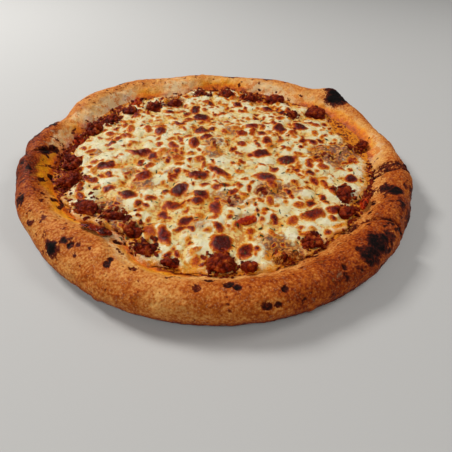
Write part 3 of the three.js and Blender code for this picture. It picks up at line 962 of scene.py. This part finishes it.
def cheese_sheet():
    """A closed sheet over the square from -1 to 1, with its top at 0 and its foot at -2."""
    bm = bmesh.new()
    bmesh.ops.create_grid(bm, x_segments=CHEESE_STEPS, y_segments=CHEESE_STEPS, size=1)
    edges = [edge for edge in bm.edges if edge.is_boundary]
    for shrink in (1, 0.8):
        grown = bmesh.ops.extrude_edge_only(bm, edges=edges)["geom"]
        verts = [item for item in grown if isinstance(item, bmesh.types.BMVert)]
        edges = [item for item in grown if isinstance(item, bmesh.types.BMEdge)]
        bmesh.ops.scale(bm, vec=(shrink, shrink, 1), verts=verts)
        bmesh.ops.translate(bm, vec=(0, 0, -1), verts=verts)
    bmesh.ops.contextual_create(bm, geom=edges)
    bmesh.ops.recalc_face_normals(bm, faces=bm.faces)
    return bm


def make_cheese(sauce, mince, finish):
    cheese = add_piece("melted_cheese", cheese_sheet(), finish)
    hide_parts("cheese")
    sheet = get_points(cheese)

    # The square is drawn out to the round, uneven outline.
    u, v, layer = sheet.T
    x = u * np.sqrt(1 - v * v / 2)
    y = v * np.sqrt(1 - u * u / 2)
    angle = np.degrees(np.arctan2(y, x))
    share = np.hypot(x, y)
    edge = outline_of(get_points(sauce))(angle) - CHEESE_INSET + swell(CHEESE_SWELLS, angle)
    turn = np.radians(angle)
    ring = EDGE_RADIUS * np.stack([np.cos(turn), np.sin(turn), 0 * turn], axis=1)
    edge += ripples(ring, EDGE_WAVES)
    reach = CHEESE_RADIUS + (edge - CHEESE_RADIUS) * share ** 3
    points = np.stack([x * reach, y * reach, 0 * x], axis=1)
    bed = heights(tree_of(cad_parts["sauce"]), points, BARE_SAUCE_HEIGHT) + CHEESE_GAP
    inward = (1 - share) * reach

    flat = wander(points, 10, 2.5)
    hills = 1 - (1 - lumps(flat, HILL_SIZE, 63)) ** 2
    humps = 1 - (1 - lumps(flat, HUMP_SIZE, 69)) ** 2
    meat = 0.6 * ease(0.45, 0.75, ripple(flat, 16, 67))
    meat = np.maximum(meat, marks_at(wander(points, 9, 3), MEATY_SPOTS, 0.5))
    thickness = CHEESE_THICKNESS + HILL_HEIGHT * (hills - 0.7) + HUMP_HEIGHT * (humps - 0.7)
    thickness += 0.3 * ripple(flat, 2.6, 65) + meat * (1.6 * lumps(flat, 4, 64) - 0.5)
    rounded = np.sqrt(1 - (1 - np.clip(inward / CHEESE_ROUNDING, 0, 1)) ** 2)
    thickness = CHEESE_EDGE_THICKNESS + (thickness - CHEESE_EDGE_THICKNESS) * rounded
    brown, halo, rise = blister_marks(points, draw_blisters(np.random.default_rng(17)))
    away_from_edge = ease(0, 5, inward)
    thickness += rise * away_from_edge

    # The cheese sinks under a bare clump, and a veil of it hangs over the others.
    veil = np.zeros(len(points))
    cover = ripple(points, 5, 66)
    mince_top = heights(tree_of(mince), points)
    for node in MINCE_NODES + TOMATO_NODES:
        middle, half = footprint(node)
        away = np.hypot(*((points[:, :2] - middle) / half).T)
        if node in VEILED_NODES:
            veil = np.maximum(veil, ease(1.5, 0.8, away))
        else:
            sink = ease(1.05, 0.8, away)
            thickness = thickness - (thickness - COVER_OF_BARE_MEAT) * sink
    top = bed + thickness
    draped = (veil > 0.3) & (mince_top > top - 0.6) & (cover > -0.15)
    top = np.where(draped, np.maximum(top, mince_top + VEIL_THICKNESS), top)

    points[:, 2] = np.where(layer > -0.5, top, bed)
    set_points(cheese, points)
    paint(cheese, "brown", brown * away_from_edge * (1 - 0.6 * ease(0.4, 0.9, veil)))
    paint(cheese, "oil", np.maximum(halo * 0.85, ease(8, 0, inward) * 0.7))
    paint(cheese, "low", 1.3 * (1 - 0.65 * hills - 0.35 * humps))
    paint(cheese, "meat", np.maximum(meat, veil * (0.75 + 0.5 * ripple(points, 4, 68))))
    return cheese


# ---- crumbs and herbs ----

def crumb_mesh():
    """A rounded lump of a few faces, about 1 across."""
    bm = bmesh.new()
    bmesh.ops.create_cube(bm, size=1)
    bmesh.ops.subdivide_edges(bm, edges=bm.edges, cuts=1, use_grid_fill=True)
    for vert in bm.verts:
        vert.co = vert.co.normalized() / 2
    mesh = bpy.data.meshes.new("crumb")
    bm.to_mesh(mesh)
    bm.free()
    return mesh


def leaf_mesh():
    """A thin curled bit of leaf, about 1 long."""
    bm = bmesh.new()
    bmesh.ops.create_grid(bm, x_segments=3, y_segments=2, size=0.5)
    for vert in bm.verts:
        vert.co.y *= 0.55 * (1 - 1.4 * vert.co.x ** 2)
        vert.co.z = 0.5 * vert.co.y ** 2 + 0.25 * vert.co.x ** 2
    bmesh.ops.solidify(bm, geom=bm.faces, thickness=0.06)
    mesh = bpy.data.meshes.new("leaf")
    bm.to_mesh(mesh)
    bm.free()
    return mesh


def lay(bm, shape, spot, normal, scale, turn, seed):
    """Adds a bent copy of a shape to a bmesh, lying on a surface."""
    before = len(bm.verts)
    bm.from_mesh(shape)
    bm.verts.ensure_lookup_table()
    verts = bm.verts[before:]
    for vert in verts:
        vert.co *= 1 + CRUMB_BEND * noise.noise(vert.co * 3 + Vector((seed, 0, 0)))
    tilt = Vector((0, 0, 1)).rotation_difference(normal).to_matrix().to_4x4()
    shaped = Matrix.Rotation(turn, 4, "Z") @ Matrix.Diagonal((*scale, 1))
    bmesh.ops.transform(bm, matrix=Matrix.Translation(spot) @ tilt @ shaped, verts=verts)


def make_crumbs(ground, rim, finish):
    """Loose crumbs of meat, half of them about the bare clumps and half along the rim."""
    draw = np.random.default_rng(29)
    bare_nodes = [node for node in MINCE_NODES if node not in VEILED_NODES]
    shape = crumb_mesh()
    bm = bmesh.new()
    for i in range(CRUMB_COUNT):
        angle = draw.uniform(0, math.tau)
        if i % 2:
            middle, half = footprint(bare_nodes[i % len(bare_nodes)])
            x, y = middle + half * draw.uniform(0.5, 1.4) * (math.cos(angle), math.sin(angle))
        else:
            side = CRUMBLY_SIDES[i // 2 % len(CRUMBLY_SIDES)]
            turn = draw.normal(side.at, side.half)
            bare = swell(CHEESE_SWELLS, turn) - side.by
            radius = rim(turn) + bare * draw.uniform(0, 1.1)
            angle = math.radians(turn)
            x, y = radius * math.cos(angle), radius * math.sin(angle)
        spot, normal = drop(ground, x, y)
        size = draw.uniform(*CRUMB_SIZE)
        scale = size * draw.uniform(0.55, 1.2, 3)
        lay(bm, shape, spot - normal * size * 0.1, normal, scale, angle, i * 3.7)
    crumbs = add_piece("mince_crumbs", bm, finish)
    # The crumbs have no crags. They get only a random tone in the channel that paints highlight
    # and shade on the clumps.
    paint(crumbs, "crags", 0.5 + 0.4 * ripple(get_points(crumbs), 4, 35))


def make_herbs(ground):
    """Dried herb flakes, scattered over the cheese."""
    draw = np.random.default_rng(37)
    shape = leaf_mesh()
    bm = bmesh.new()
    for i in range(FLAKE_COUNT):
        angle = draw.uniform(0, math.tau)
        radius = FLAKE_FIELD * math.sqrt(draw.uniform())
        spot, normal = drop(ground, radius * math.cos(angle), radius * math.sin(angle))
        size = draw.uniform(*FLAKE_SIZE)
        scale = (size, size * draw.uniform(0.5, 1), size * draw.uniform(0.5, 1))
        lean = (normal + Vector(draw.uniform(-FLAKE_LEAN, FLAKE_LEAN, 3))).normalized()
        lay(bm, shape, spot + normal * 0.12, lean, scale, draw.uniform(0, math.tau), i * 2.3)
    add_piece("herb_flakes", bm, dried_herb())


# ---- floor, light and camera ----

def make_floor():
    bm = bmesh.new()
    bmesh.ops.create_grid(bm, x_segments=1, y_segments=1, size=FLOOR_REACH)
    mesh = bpy.data.meshes.new("floor")
    bm.to_mesh(mesh)
    bm.free()
    look = Look("floor", roughness=0.9, base_color=rgb(*FLOOR_COLOUR))
    mesh.materials.append(look.material)
    floor = bpy.data.objects.new("floor", mesh)
    bpy.context.collection.objects.link(floor)


def make_light():
    """An even room light, and square softboxes that shine on the pizza."""
    world = bpy.data.worlds.new("studio")
    world.use_nodes = True
    room = world.node_tree.nodes["Background"]
    room.inputs["Color"].default_value = (1, 1, 1, 1)
    room.inputs["Strength"].default_value = ROOM_LIGHT
    bpy.context.scene.world = world
    for softbox in SOFTBOXES:
        data = bpy.data.lights.new(softbox.name, "AREA")
        data.size = softbox.size
        data.energy = softbox.power
        light = bpy.data.objects.new(softbox.name, data)
        light.location = softbox.place
        light.rotation_euler = (-Vector(softbox.place)).to_track_quat("-Z", "Y").to_euler()
        bpy.context.collection.objects.link(light)


def make_camera():
    data = bpy.data.cameras.new("camera")
    data.lens = CAMERA_LENS
    data.sensor_width = SENSOR_WIDTH
    data.clip_start = 0.01
    camera = bpy.data.objects.new("camera", data)
    tilt = Matrix.Rotation(math.radians(90 - CAMERA_TILT), 4, "X")
    roll = Matrix.Rotation(math.radians(CAMERA_ROLL), 4, "Z")
    camera.matrix_world = Matrix.Translation(Vector(CAMERA_PLACE) * MM) @ tilt @ roll
    bpy.context.collection.objects.link(camera)
    bpy.context.scene.camera = camera
    bpy.context.scene.view_settings.view_transform = "Standard"


make_floor()
make_light()
make_camera()

cheese_finish = melted_cheese()
crust = make_crust()
sauce = make_sauce()
mince = make_mince()
tomato = make_tomato()
make_scrap(cheese_finish)
cheese = make_cheese(sauce, mince, cheese_finish)
ground = tree_of(crust, sauce, mince, tomato, cheese)
make_crumbs(ground, outline_of(get_points(sauce)), mince.data.materials[0])
make_herbs(ground)
